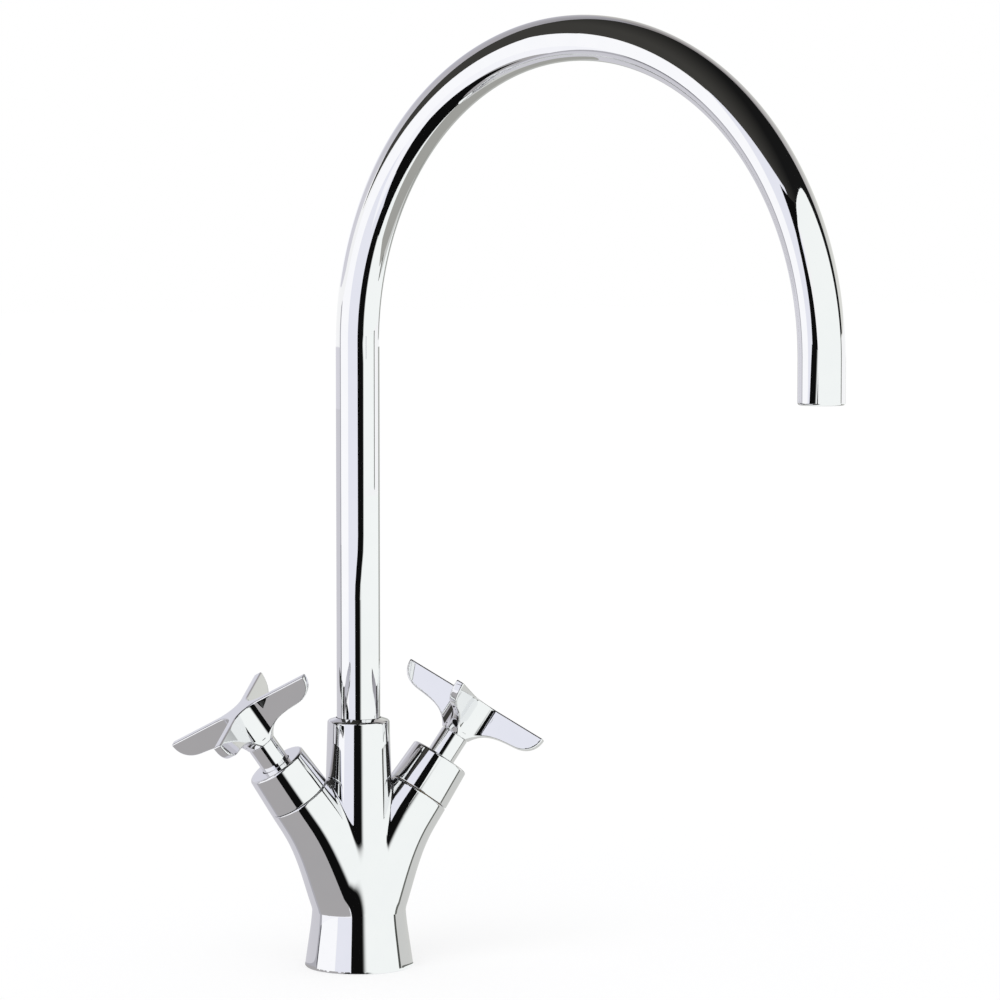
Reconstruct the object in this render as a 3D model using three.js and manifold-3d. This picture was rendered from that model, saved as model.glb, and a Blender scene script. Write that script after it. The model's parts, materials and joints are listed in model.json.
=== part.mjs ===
// Two handle kitchen faucet: a cast body with a foot, two tilted arms and a spout socket, a swivelling
// swan-neck spout, and on each arm a quarter-turn ceramic valve with a four-wing handle.
// Millimetres, +Z up. The origin is the centre of the foot's underside, the arms lie along X, the front
// is -Y, and the hot side is -X. The spout stands swung from the front, as the handles stand closed.
import * as THREE from 'three';
import { mergeVertices } from 'three/addons/utils/BufferGeometryUtils.js';
import Module from 'manifold-3d';

const wasm = await Module();
wasm.setup();

// Fits
const seatGap = 0.3; // between two pieces that touch
const runGap = 0.4; // around a piece that turns
const overrun = 1; // how far a cut or a join runs past a face

// Foot and waist of the body
const footRadius = 25;
const footEdge = 0.8; // bevel of the foot's lower edge
const waistHeight = 26;
const waistRadius = 21.3;
const cavityRadius = 17; // hollow under the foot
const cavityDepth = 10;
const gasketInset = 3.6; // middle of the gasket ring, from the foot's edge
const gasketWidth = 2.2;
const gasketHeight = 1.9;
const inletOffset = 9; // inlet tails, either side of the middle
const inletRadius = 4.6;
const inletDepth = 18;
const studOffset = 9.5; // fixing stud, in front of the middle
const studRadius = 3.4;
const studDepth = 20;

// Column that carries the spout
const columnHeight = 114.3; // to the rim
const columnWall = 4.3; // round the tube, at the rim
const columnTaper = 0.03; // radius gained for each millimetre below the rim
const columnFlare = 34; // above the waist, where the column begins to widen
const crownRise = 1.4; // shallow cone from the rim up to the tube
const rimEdge = 0.9;

// Arms
const armTilt = 34.7; // degrees from upright
const armCrossRise = 12.2; // above the waist, where the axes of the arms meet
const armRadius = 15; // at the end face
const armTaper = 0.05; // radius gained for each millimetre down the arm
const armStraight = 14; // straight stretch above the flare into the waist
const armStations = 9; // rings of the loft
const crotchGap = 0.43; // between the end face's inner edge and the foot of the column
const feedRadius = 3; // waterway from the inlet to the seat
const drainRadius = 2.4; // waterway from the seat to the mixing chamber
const chamberStep = 2.6; // mixing chamber, inside the bore of the spigot
const chamberDepth = 15; // below the spigot

// Spout
const tubeRadius = 10;
const tubeWall = 1.25;
const tubeSeat = 17.3; // depth of the tube's end below the rim
const tubeRise = 191; // straight stretch from there to the bend
const bendRadius = 136;
const spoutDrop = 18.4; // straight stretch before the outlet
const spoutSwing = 28; // degrees from the front towards the cold side
const spigotStep = 0.8; // spigot, inside the tube's outer radius
const spigotNeck = 15; // length of the spigot inside the tube
const spigotLand = 4.3; // between two grooves
const spigotWall = 1.2; // under the O-rings
const oringSection = 0.9; // radius of the section
const keeperRadius = 2.4; // grub screw that keeps the spout in
const keeperTip = 1.4;
const keeperGroove = 1.7; // depth of its groove in the spigot
const keeperInset = 1; // its head, below the skin of the column
const driveDepth = 2;
const glideLength = 5;
const glideThickness = 1.2;

// Aerator
const aeratorRecess = 1.5; // above the lip of the outlet
const aeratorLength = 12;
const aeratorWall = 1.1;
const aeratorLip = 0.9; // inner lip that the insert stands on
const insertLength = 6;
const jetRadius = 0.9;
const jetPitch = 2.9; // between two rings of jets
const jetRings = 2;
const jetsInFirstRing = 6;
const aeratorSealLength = 2;
const aeratorSealWidth = 2.1;

// Bonnet covers and stem sleeves
const coverLength = 19;
const coverTaper = 1; // radius lost from foot to top
const coverEdge = 1.2;
const coverWall = 1.3;
const coverTop = 1.6;
const stemRadius = 6.65;
const stemShown = 12.3; // between the cover and the hub
const stemTail = 3.3; // hidden in the cover
const tenonWall = 0.8;
const tenonLength = 2.5;

// Handles
const handleRadius = 37.6;
const handleTurn = 54; // degrees, of the closed handle about its arm
const wingThickness = 4;
const wingFillet = 10; // between two wings
const wingDepth = 10.2; // at the belly of a wing
const bellyRadius = 27.5; // place of the belly
const hubDepth = 19;
const hubLip = 0.45; // lower end of the hub, outside the stem sleeve
const hubCap = 5.3; // solid metal above the spindle
const grubRadius = 2;
const grubDepth = 13.5; // below the flat top
const grubLength = 2;
// Side view, as shares of the belly's place and depth
const tipRound = { drop: 0.55, reach: 0.65, depth: 0.94 };
const sweepRound = { reach: 0.73, depth: 1.07, hubReach: 1.62, hubDepth: 1.08 };

// Valve
const sealHeight = 1.4;
const sealWidth = 2.4;
const housingRadius = 10.2;
const housingWall = 1.3;
const discHeight = 3;
const portRadius = 2.3;
const portOffset = 4.3; // of both ports from the axis of the valve
const channelDepth = 1;
const flangeHeight = 2.1; // of the spindle, above the discs
const lugWidth = 3;
const lugInset = 2.5; // its ends, inside the disc's edge
const lugHeight = 0.9;
const hexClear = 1; // between the hexagon's corners and the cover
const hexHeight = 5;
const neckRadius = 7.5;
const spindleRadius = 3.9;
const ringSection = 0.7; // O-ring of the housing, radius of the section
const ringLand = 0.6; // metal beside its groove

// Facets
const fine = 36; // visible turned pieces
const coarse = 20; // hidden turned pieces
const boreSides = 12;
const ringSteps = 6; // round the section of an O-ring
const tubeSteps = 44;
const curveSteps = 8;

const up = new THREE.Vector3(0, 0, 1);
const radians = THREE.MathUtils.degToRad;

// ---------- geometry helpers ----------

// A closed three.js geometry as a solid, with its faces turned outwards.
function toSolid(geometry) {
  const bare = geometry.clone();
  bare.deleteAttribute('normal');
  bare.deleteAttribute('uv');
  const merged = mergeVertices(bare, 1e-4);
  const place = merged.getAttribute('position');
  const index = Array.from(merged.index.array);
  const triangles = [];
  let volume = 0;
  for (let i = 0; i < index.length; i += 3) {
    const [a, b, c] = index.slice(i, i + 3);
    if (a === b || b === c || c === a) continue;
    triangles.push(a, b, c);
    const corner = [a, b, c].map((k) => new THREE.Vector3().fromBufferAttribute(place, k));
    volume += corner[0].dot(corner[1].cross(corner[2]));
  }
  if (volume < 0) triangles.reverse();
  return new wasm.Manifold(new wasm.Mesh({
    numProp: 3,
    vertProperties: new Float32Array(place.array),
    triVerts: new Uint32Array(triangles),
  }));
}

function toGeometry(solid) {
  const mesh = solid.getMesh();
  const geometry = new THREE.BufferGeometry();
  geometry.setAttribute('position', new THREE.BufferAttribute(new Float32Array(mesh.vertProperties), 3));
  geometry.setIndex(new THREE.BufferAttribute(new Uint32Array(mesh.triVerts), 1));
  geometry.computeVertexNormals();
  return geometry;
}

// A profile of [radius, height] points turned about Z. It starts and ends on the axis or closes on itself.
function turned(profile, sides) {
  const points = profile.map(([radius, height]) => new THREE.Vector2(radius, height));
  return toSolid(new THREE.LatheGeometry(points, sides).rotateX(Math.PI / 2));
}

function ring(inner, outer, low, high, sides) {
  return turned([[inner, low], [outer, low], [outer, high], [inner, high], [inner, low]], sides);
}

function rod(radius, low, high, sides = coarse) {
  return turned([[0, low], [radius, low], [radius, high], [0, high]], sides);
}

// A round bar between two points.
function bar(from, to, radius, sides = boreSides) {
  const span = new THREE.Vector3().subVectors(to, from);
  const geometry = new THREE.CylinderGeometry(radius, radius, span.length(), sides);
  geometry.rotateX(Math.PI / 2);
  geometry.applyQuaternion(new THREE.Quaternion().setFromUnitVectors(up, span.clone().normalize()));
  const middle = new THREE.Vector3().addVectors(from, to).multiplyScalar(0.5);
  return toSolid(geometry.translate(middle.x, middle.y, middle.z));
}

function oring(radius, section, height) {
  return toSolid(new THREE.TorusGeometry(radius, section, ringSteps, coarse).translate(0, 0, height));
}

// A skin over rings of points, closed at both ends.
function loft(rings) {
  const count = rings[0].length;
  const points = rings.flat();
  const index = [];
  for (let i = 0; i + 1 < rings.length; i += 1) {
    for (let j = 0; j < count; j += 1) {
      const next = (j + 1) % count;
      const low = i * count;
      const high = low + count;
      index.push(low + j, low + next, high + next, low + j, high + next, high + j);
    }
  }
  for (const [start, order] of [[0, -1], [(rings.length - 1) * count, 1]]) {
    const centre = points.slice(start, start + count).reduce((sum, p) => sum.add(p), new THREE.Vector3());
    points.push(centre.divideScalar(count));
    const hub = points.length - 1;
    for (let j = 0; j < count; j += 1) {
      const pair = [start + j, start + ((j + 1) % count)];
      if (order < 0) pair.reverse();
      index.push(hub, ...pair);
    }
  }
  const geometry = new THREE.BufferGeometry().setFromPoints(points);
  geometry.setIndex(index);
  return toSolid(geometry);
}

// ---------- column and spout: heights that follow each other ----------

const columnRadius = tubeRadius + columnWall;
const columnFoot = waistHeight + columnFlare;
const columnRadiusAt = (height) => columnRadius + columnTaper * (columnHeight - height);
const crownHeight = columnHeight + crownRise;

const boreRadius = tubeRadius - tubeWall;
const tubeFoot = columnHeight - tubeSeat;
const bendHeight = tubeFoot + tubeRise;
const outletReach = 2 * bendRadius;
const outletHeight = bendHeight - spoutDrop;
const shoulder = tubeFoot - seatGap; // step that the tube stands on

const spigotRadius = tubeRadius - spigotStep;
const spigotSeat = spigotRadius + runGap; // bore that the spigot turns in
const chamberRadius = spigotSeat - chamberStep;
const oringRadius = spigotSeat - seatGap - oringSection; // middle of the section
const oringFloor = oringRadius - oringSection - seatGap;
const oringHalf = oringSection + seatGap;
const spigotBore = oringFloor - spigotWall;
const glideOuter = spigotSeat - seatGap;
const glideInner = glideOuter - glideThickness;
const glideHalf = glideLength / 2 + seatGap;
const keeperFloor = spigotRadius - keeperGroove;
const keeperHalf = keeperTip + runGap;

// Middles of the spigot's four grooves, from the shoulder down
const glideHeight = shoulder - spigotLand - glideHalf;
const keeperHeight = glideHeight - glideHalf - spigotLand - keeperHalf;
const upperOringHeight = keeperHeight - keeperHalf - spigotLand - oringHalf;
const lowerOringHeight = upperOringHeight - 2 * oringHalf - spigotLand;
const spigotFoot = lowerOringHeight - oringHalf - spigotLand;
const chamberFloor = spigotFoot - chamberDepth;

// ---------- arms: lengths along the axis, from where the axes of the arms meet ----------

const tilt = radians(armTilt);
const sides = { hot: -1, cold: 1 };
const armCrossHeight = waistHeight + armCrossRise;
const columnSpan = columnRadiusAt(columnFoot) + crotchGap;
const armLength = (columnSpan + Math.cos(tilt) * armRadius) / Math.sin(tilt); // to the end face

const housingRing = armLength - ringLand - ringSection - seatGap; // middle of its O-ring
const pocketRoof = housingRing - ringSection - seatGap - ringLand;
const spindleFoot = pocketRoof - seatGap - flangeHeight;
const upperDisc = spindleFoot - seatGap - discHeight;
const lowerDisc = upperDisc - seatGap - discHeight;
const housingFoot = lowerDisc;
const sealFoot = housingFoot - seatGap - sealHeight;
const socketFloor = sealFoot - seatGap;
const socketRadius = housingRadius + seatGap;
const pocketRadius = housingRadius - housingWall;
const discRadius = pocketRadius - runGap;

const coverFoot = armLength + seatGap;
const coverHead = coverFoot + coverLength;
const coverTopRadius = armRadius - coverTaper;
const coverBore = armRadius - coverWall;
const stemFoot = coverHead - stemTail;
const stemHead = coverHead + stemShown;
const hexFoot = armLength + seatGap;
const hexHead = hexFoot + hexHeight;
const neckHead = stemFoot - runGap;
const stemBore = spindleRadius + 2 * seatGap;
const tenonRadius = stemBore + tenonWall;

const hubFoot = stemHead + seatGap;
const hubRadius = stemRadius + hubLip;
const handleTop = hubFoot + hubDepth;
const spindleTop = handleTop - hubCap - seatGap;
const grubHeight = handleTop - grubDepth;

// A point of the arm's plane, given along the axis and outwards across it.
function armPoint(side, along, across = 0) {
  const x = Math.sin(tilt) * along + Math.cos(tilt) * across;
  const z = armCrossHeight + Math.cos(tilt) * along - Math.sin(tilt) * across;
  return new THREE.Vector3(side * x, 0, z);
}

// The arm is lofted from the waist to its end face: each ring is a circle between an outer and an inner
// point, and the two edge curves run straight along the arm and flare into the waist below.
function armLoft(side) {
  const flare = armLength - armStraight;
  const flareRadius = armRadius + armTaper * armStraight;
  const edge = (sign) => new THREE.CatmullRomCurve3([
    new THREE.Vector3(side * sign * waistRadius, 0, waistHeight),
    armPoint(side, flare, sign * flareRadius),
    armPoint(side, armLength, sign * armRadius),
  ], false, 'chordal');
  const outer = edge(1);
  const inner = edge(-1);
  const rings = [];
  for (let i = 0; i <= armStations; i += 1) {
    const high = outer.getPoint(i / armStations);
    const low = inner.getPoint(i / armStations);
    const centre = high.clone().add(low).multiplyScalar(0.5);
    const half = high.clone().sub(low).multiplyScalar(0.5);
    const points = [];
    for (let j = 0; j < fine; j += 1) {
      const turn = (2 * Math.PI * j) / fine;
      const across = half.clone().multiplyScalar(Math.cos(turn));
      points.push(centre.clone().add(across).add(new THREE.Vector3(0, half.length() * Math.sin(turn), 0)));
    }
    rings.push(points);
  }
  return loft(rings);
}

// ---------- body ----------

const gasketMiddle = footRadius - gasketInset;

// The hollow of the foot, the gasket's groove and the fixing stud's hole.
function footCuts() {
  const half = gasketWidth / 2 + seatGap;
  const studFoot = new THREE.Vector3(0, -studOffset, cavityDepth - overrun);
  return [
    rod(cavityRadius, -overrun, cavityDepth, fine),
    ring(gasketMiddle - half, gasketMiddle + half, -overrun, gasketHeight + seatGap, fine),
    bar(studFoot, studFoot.clone().setZ(cavityDepth + studDepth), studRadius),
  ];
}

// The mixing chamber, the bores of the spigot and the tube, and the hole of the keeper screw.
function columnCuts() {
  const tubeSocket = tubeRadius + runGap;
  return [
    turned([
      [0, chamberFloor],
      [chamberRadius, chamberFloor],
      [chamberRadius, spigotFoot - seatGap],
      [spigotSeat, spigotFoot - seatGap],
      [spigotSeat, shoulder],
      [tubeSocket, shoulder],
      [tubeSocket, crownHeight + overrun],
      [0, crownHeight + overrun],
    ], fine),
    bar(
      new THREE.Vector3(0, spigotSeat - overrun, keeperHeight),
      new THREE.Vector3(0, footRadius, keeperHeight),
      keeperRadius + seatGap,
    ),
  ];
}

// On one side the inlet, the feed, the socket of the valve and the drain.
function armCuts(side) {
  const inletTop = new THREE.Vector3(side * inletOffset, 0, cavityDepth + inletDepth);
  const inletFoot = inletTop.clone().setZ(cavityDepth - overrun);
  const feedFoot = inletTop.clone().setZ(inletTop.z - feedRadius);
  const drainFoot = new THREE.Vector3(0, 0, chamberFloor + drainRadius);
  return [
    bar(inletFoot, inletTop, inletRadius),
    bar(feedFoot, armPoint(side, socketFloor + overrun, portOffset), feedRadius),
    bar(armPoint(side, socketFloor), armPoint(side, armLength + overrun), socketRadius, coarse),
    bar(drainFoot, armPoint(side, socketFloor + overrun, -portOffset), drainRadius),
  ];
}

function bodySolid() {
  let body = turned([
    [0, 0],
    [footRadius - footEdge, 0],
    [footRadius, footEdge],
    [waistRadius, waistHeight],
    [columnRadiusAt(columnFoot), columnFoot],
    [columnRadiusAt(columnHeight - rimEdge), columnHeight - rimEdge],
    [columnRadius - rimEdge, columnHeight],
    [tubeRadius + runGap, crownHeight],
    [0, crownHeight],
  ], fine);
  const cuts = [...footCuts(), ...columnCuts()];
  for (const side of Object.values(sides)) {
    body = body.add(armLoft(side));
    cuts.push(...armCuts(side));
  }
  for (const cut of cuts) body = body.subtract(cut);
  return body;
}

// ---------- spout, built along +X ----------

class Bend extends THREE.Curve {
  getPoint(t) {
    const turn = Math.PI * t;
    const x = bendRadius * (1 - Math.cos(turn));
    return new THREE.Vector3(x, 0, bendHeight + bendRadius * Math.sin(turn));
  }
}

function spoutPath() {
  const upright = [new THREE.Vector3(0, 0, tubeFoot), new THREE.Vector3(0, 0, bendHeight)];
  const drop = [
    new THREE.Vector3(outletReach, 0, bendHeight),
    new THREE.Vector3(outletReach, 0, outletHeight),
  ];
  const path = new THREE.CurvePath();
  path.add(new THREE.LineCurve3(...upright));
  path.add(new Bend());
  path.add(new THREE.LineCurve3(...drop));
  return path;
}

function tubeSolid() {
  const section = new THREE.Shape().absarc(0, 0, tubeRadius, 0, 2 * Math.PI);
  section.holes.push(new THREE.Path().absarc(0, 0, boreRadius, 0, 2 * Math.PI));
  return toSolid(new THREE.ExtrudeGeometry(section, {
    steps: tubeSteps,
    curveSegments: coarse / 2,
    bevelEnabled: false,
    extrudePath: spoutPath(),
  }));
}

function spigotSolid() {
  const groove = (floor, height, half) => [
    [spigotRadius, height - half],
    [floor, height - half],
    [floor, height + half],
    [spigotRadius, height + half],
  ];
  const neckRadiusInTube = boreRadius - seatGap;
  const neckTop = tubeFoot + spigotNeck;
  return turned([
    [spigotBore, spigotFoot],
    [spigotRadius, spigotFoot],
    ...groove(oringFloor, lowerOringHeight, oringHalf),
    ...groove(oringFloor, upperOringHeight, oringHalf),
    ...groove(keeperFloor, keeperHeight, keeperHalf),
    ...groove(glideInner - seatGap, glideHeight, glideHalf),
    [spigotRadius, shoulder],
    [neckRadiusInTube, shoulder],
    [neckRadiusInTube, neckTop],
    [spigotBore, neckTop],
    [spigotBore, spigotFoot],
  ], coarse);
}

function glideSolid() {
  const foot = glideHeight - glideLength / 2;
  return ring(glideInner, glideOuter, foot, foot + glideLength, coarse);
}

// Grub screw across the back of the column, with a plain tip in the spigot's groove and a hexagon drive.
function keeperSolid() {
  const head = columnRadiusAt(keeperHeight) - keeperInset;
  const at = (reach) => new THREE.Vector3(0, reach, keeperHeight);
  return bar(at(keeperFloor + seatGap), at(spigotSeat + overrun), keeperTip)
    .add(bar(at(spigotSeat + seatGap), at(head), keeperRadius))
    .subtract(bar(at(head - driveDepth), at(head + overrun), keeperRadius / 2, 6));
}

// ---------- aerator, about the axis of the outlet ----------

const aeratorFoot = outletHeight + aeratorRecess;
const aeratorHead = aeratorFoot + aeratorLength;
const aeratorRadius = boreRadius - seatGap;
const insertRadius = aeratorRadius - aeratorWall - seatGap;

function aeratorHousing() {
  return turned([
    [insertRadius - aeratorLip, aeratorFoot],
    [aeratorRadius, aeratorFoot],
    [aeratorRadius, aeratorHead],
    [insertRadius + seatGap, aeratorHead],
    [insertRadius + seatGap, aeratorFoot + aeratorLip],
    [insertRadius - aeratorLip, aeratorFoot + aeratorLip],
    [insertRadius - aeratorLip, aeratorFoot],
  ], coarse);
}

function aeratorInsert() {
  const low = aeratorFoot + aeratorLip + seatGap;
  const high = low + insertLength;
  let insert = rod(insertRadius, low, high);
  for (let band = 1; band <= jetRings; band += 1) {
    const jets = jetsInFirstRing * band;
    for (let k = 0; k < jets; k += 1) {
      const foot = new THREE.Vector3(jetPitch * band, 0, low - overrun);
      foot.applyAxisAngle(up, (2 * Math.PI * k) / jets);
      insert = insert.subtract(bar(foot, foot.clone().setZ(high + overrun), jetRadius, 6));
    }
  }
  return insert;
}

function aeratorSeal() {
  const foot = aeratorHead + seatGap;
  return ring(aeratorRadius - aeratorSealWidth, aeratorRadius, foot, foot + aeratorSealLength, coarse);
}

// ---------- handle, about the axis of its arm ----------

// The handle's side view, turned: flat top, round wing tips, a belly and a sweep into the hub.
function handleSweep() {
  const fringe = handleRadius - bellyRadius;
  const tip = new THREE.CubicBezierCurve(
    new THREE.Vector2(handleRadius, 0),
    new THREE.Vector2(handleRadius, wingDepth * tipRound.drop),
    new THREE.Vector2(bellyRadius + fringe * tipRound.reach, wingDepth * tipRound.depth),
    new THREE.Vector2(bellyRadius, wingDepth),
  );
  const sweep = new THREE.CubicBezierCurve(
    new THREE.Vector2(bellyRadius, wingDepth),
    new THREE.Vector2(bellyRadius * sweepRound.reach, wingDepth * sweepRound.depth),
    new THREE.Vector2(hubRadius * sweepRound.hubReach, wingDepth * sweepRound.hubDepth),
    new THREE.Vector2(hubRadius, hubDepth),
  );
  const edge = [...tip.getPoints(curveSteps), ...sweep.getPoints(curveSteps).slice(1)];
  const profile = edge.map((point) => [point.x, handleTop - point.y]);
  return turned([[0, handleTop], ...profile, [0, hubFoot]], fine);
}

// Plan of the handle: four arms of even thickness with a round fillet in each corner.
function handleCross() {
  const half = wingThickness / 2;
  const reach = handleRadius + overrun;
  const corner = half + wingFillet;
  const quarter = Math.PI / 2;
  const plan = new THREE.Shape();
  for (let k = 0; k < 4; k += 1) {
    const turn = (x, y) => new THREE.Vector2(x, y).rotateAround(new THREE.Vector2(), k * quarter);
    const [right, left] = [turn(reach, -half), turn(reach, half)];
    if (k === 0) plan.moveTo(right.x, right.y);
    else plan.lineTo(right.x, right.y);
    plan.lineTo(left.x, left.y);
    const middle = turn(corner, corner);
    const start = (k - 1) * quarter;
    plan.absarc(middle.x, middle.y, wingFillet, start, start - quarter, true);
  }
  plan.closePath();
  const depth = hubDepth + 2 * overrun;
  const block = new THREE.ExtrudeGeometry(plan, { depth, bevelEnabled: false, curveSegments: curveSteps });
  return toSolid(block.translate(0, 0, hubFoot - overrun));
}

// The grub screw sits between two wings, on the side that the closed handle turns to the back.
const grubAt = (reach) => new THREE.Vector3(reach, reach, 0).multiplyScalar(Math.SQRT1_2).setZ(grubHeight);

function handleSolid() {
  return handleSweep()
    .intersect(handleCross())
    .subtract(rod(spindleRadius + seatGap, hubFoot - overrun, handleTop - hubCap))
    .subtract(rod(tenonRadius + seatGap, hubFoot - overrun, hubFoot + tenonLength + seatGap))
    .subtract(bar(grubAt(0), grubAt(handleRadius), grubRadius + seatGap));
}

function grubSolid() {
  const foot = spindleRadius + seatGap;
  const drive = foot + grubLength / 2;
  return bar(grubAt(foot), grubAt(foot + grubLength), grubRadius)
    .subtract(bar(grubAt(drive), grubAt(foot + grubLength + overrun), grubRadius / 2, 6));
}

// ---------- cover, sleeve and valve, about the axis of their arm ----------

function coverSolid() {
  const roof = coverHead - coverTop;
  return turned([
    [coverBore, coverFoot],
    [armRadius, coverFoot],
    [coverTopRadius, coverHead - coverEdge],
    [coverTopRadius - coverEdge, coverHead],
    [stemRadius + runGap, coverHead],
    [stemRadius + runGap, roof],
    [coverTopRadius - coverWall - coverEdge, roof],
    [coverBore, coverFoot],
  ], fine);
}

function stemSolid() {
  return turned([
    [stemBore, stemFoot],
    [stemRadius, stemFoot],
    [stemRadius, stemHead],
    [tenonRadius, stemHead],
    [tenonRadius, hubFoot + tenonLength],
    [stemBore, hubFoot + tenonLength],
    [stemBore, stemFoot],
  ], fine);
}

function housingSolid() {
  const half = ringSection + seatGap;
  const grooveFloor = housingRadius - 2 * ringSection - seatGap;
  const bore = spindleRadius + runGap;
  const shell = turned([
    [pocketRadius, housingFoot],
    [housingRadius, housingFoot],
    [housingRadius, housingRing - half],
    [grooveFloor, housingRing - half],
    [grooveFloor, housingRing + half],
    [housingRadius, housingRing + half],
    [housingRadius, hexFoot + overrun],
    [neckRadius, hexFoot + overrun],
    [neckRadius, neckHead],
    [bore, neckHead],
    [bore, pocketRoof],
    [pocketRadius, pocketRoof],
    [pocketRadius, housingFoot],
  ], coarse);
  const nut = rod(coverBore - hexClear, hexFoot, hexHead, 6)
    .subtract(rod(neckRadius - overrun, hexFoot - overrun, hexHead + overrun));
  return shell.add(nut);
}

function sealSolid() {
  const outer = housingRadius - seatGap;
  return ring(outer - sealWidth, outer, sealFoot, sealFoot + sealHeight, coarse);
}

// Lower disc: fixed in the housing, with one port for the feed and one for the drain.
function fixedDisc() {
  let disc = rod(discRadius, lowerDisc, lowerDisc + discHeight);
  for (const across of [-portOffset, portOffset]) {
    const foot = new THREE.Vector3(across, 0, lowerDisc - overrun);
    disc = disc.subtract(bar(foot, foot.clone().setZ(upperDisc), portRadius));
  }
  return disc;
}

// Upper disc: turns with the spindle, whose lug stands in its slot. Its channel joins the two ports when
// the valve is open, and lies across them when it is closed.
function movingDisc() {
  const slotLength = 2 * (discRadius - lugInset + seatGap);
  const slot = new THREE.BoxGeometry(lugWidth + 2 * seatGap, slotLength, 2 * (lugHeight + seatGap));
  slot.translate(0, 0, upperDisc + discHeight);
  const channel = new THREE.BoxGeometry(2 * portRadius, 2 * (portOffset + portRadius), 2 * channelDepth);
  channel.translate(0, 0, upperDisc);
  return rod(discRadius, upperDisc, upperDisc + discHeight)
    .subtract(toSolid(slot))
    .subtract(toSolid(channel));
}

function spindleSolid() {
  const lugTop = spindleFoot + flangeHeight / 2;
  const lugFoot = spindleFoot - lugHeight;
  const lug = new THREE.BoxGeometry(lugWidth, 2 * (discRadius - lugInset), lugTop - lugFoot);
  lug.translate(0, 0, (lugTop + lugFoot) / 2);
  return turned([
    [0, spindleFoot],
    [discRadius, spindleFoot],
    [discRadius, spindleFoot + flangeHeight],
    [spindleRadius, spindleFoot + flangeHeight],
    [spindleRadius, spindleTop],
    [0, spindleTop],
  ], coarse).add(toSolid(lug));
}

// ---------- materials ----------

const finish = (color, roughness, metalness) => () => (
  new THREE.MeshStandardMaterial({ color, roughness, metalness })
);
const chrome = finish('#dcdde1', 0.06, 1);
const brass = finish('#c8a45a', 0.35, 1);
const steel = finish('#b9bcc0', 0.3, 1);
const rubber = finish('#1d1d1f', 0.75, 0);
const ceramic = finish('#f1efe8', 0.25, 0);
const acetal = finish('#e9e9e4', 0.45, 0);

// ---------- assembly ----------

function piece(parent, name, solid, material) {
  const mesh = new THREE.Mesh(toGeometry(solid), material());
  mesh.name = name;
  parent.add(mesh);
}

const faucet = new THREE.Group();

const gasketInner = gasketMiddle - gasketWidth / 2;
piece(faucet, 'mixer_body', bodySolid(), chrome);
piece(faucet, 'foot_gasket', ring(gasketInner, gasketInner + gasketWidth, 0, gasketHeight, fine), rubber);
piece(faucet, 'spout_keeper_screw', keeperSolid(), steel);

// The spout is swung to its place.
const spout = new THREE.Group();
spout.rotation.z = radians(spoutSwing - 90);
faucet.add(spout);
piece(spout, 'spout_tube', tubeSolid(), chrome);
piece(spout, 'spout_spigot', spigotSolid(), brass);
piece(spout, 'spout_oring_lower', oring(oringRadius, oringSection, lowerOringHeight), rubber);
piece(spout, 'spout_oring_upper', oring(oringRadius, oringSection, upperOringHeight), rubber);
piece(spout, 'spout_glide_ring', glideSolid(), acetal);

const outlet = new THREE.Group();
outlet.position.x = outletReach;
spout.add(outlet);
piece(outlet, 'aerator_housing', aeratorHousing(), steel);
piece(outlet, 'aerator_insert', aeratorInsert(), acetal);
piece(outlet, 'aerator_seal', aeratorSeal(), rubber);

const ringMiddle = housingRadius - ringSection;

for (const [name, side] of Object.entries(sides)) {
  const arm = new THREE.Group();
  arm.position.z = armCrossHeight;
  arm.rotation.y = side * tilt;
  faucet.add(arm);
  piece(arm, `${name}_bonnet_cover`, coverSolid(), chrome);
  piece(arm, `${name}_valve_housing`, housingSolid(), brass);
  piece(arm, `${name}_valve_oring`, oring(ringMiddle, ringSection, housingRing), rubber);
  piece(arm, `${name}_seat_seal`, sealSolid(), rubber);
  piece(arm, `${name}_fixed_disc`, fixedDisc(), ceramic);
  piece(arm, `${name}_moving_disc`, movingDisc(), ceramic);
  piece(arm, `${name}_spindle`, spindleSolid(), brass);
  piece(arm, `${name}_stem_sleeve`, stemSolid(), chrome);

  // The handle sits on the splines of the spindle, turned to its closed place.
  const turning = new THREE.Group();
  turning.rotation.z = radians(handleTurn);
  arm.add(turning);
  piece(turning, `${name}_handle`, handleSolid(), chrome);
  piece(turning, `${name}_handle_screw`, grubSolid(), steel);
}

export default faucet;
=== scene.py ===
import json
import math

import bpy
import numpy as np
from mathutils import Matrix


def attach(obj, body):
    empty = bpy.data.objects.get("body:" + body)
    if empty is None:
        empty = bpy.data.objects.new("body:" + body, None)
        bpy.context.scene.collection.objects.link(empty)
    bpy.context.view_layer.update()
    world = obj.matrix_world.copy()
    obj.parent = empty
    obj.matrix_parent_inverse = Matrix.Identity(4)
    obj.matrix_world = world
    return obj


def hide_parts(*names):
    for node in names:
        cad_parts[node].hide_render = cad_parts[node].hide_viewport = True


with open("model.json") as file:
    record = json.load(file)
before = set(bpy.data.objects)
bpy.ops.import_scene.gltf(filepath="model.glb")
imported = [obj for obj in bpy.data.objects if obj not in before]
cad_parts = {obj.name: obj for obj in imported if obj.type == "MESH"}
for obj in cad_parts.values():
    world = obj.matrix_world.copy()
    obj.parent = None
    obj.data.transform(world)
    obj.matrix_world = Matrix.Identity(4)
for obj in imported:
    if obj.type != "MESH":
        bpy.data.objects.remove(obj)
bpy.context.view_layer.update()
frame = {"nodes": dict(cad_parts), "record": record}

# Two handle kitchen faucet. Lengths are millimetres until a mesh is made.
mm = 0.001
fits = {"seat": 0.3, "run": 0.4, "overrun": 1.0}


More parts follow.
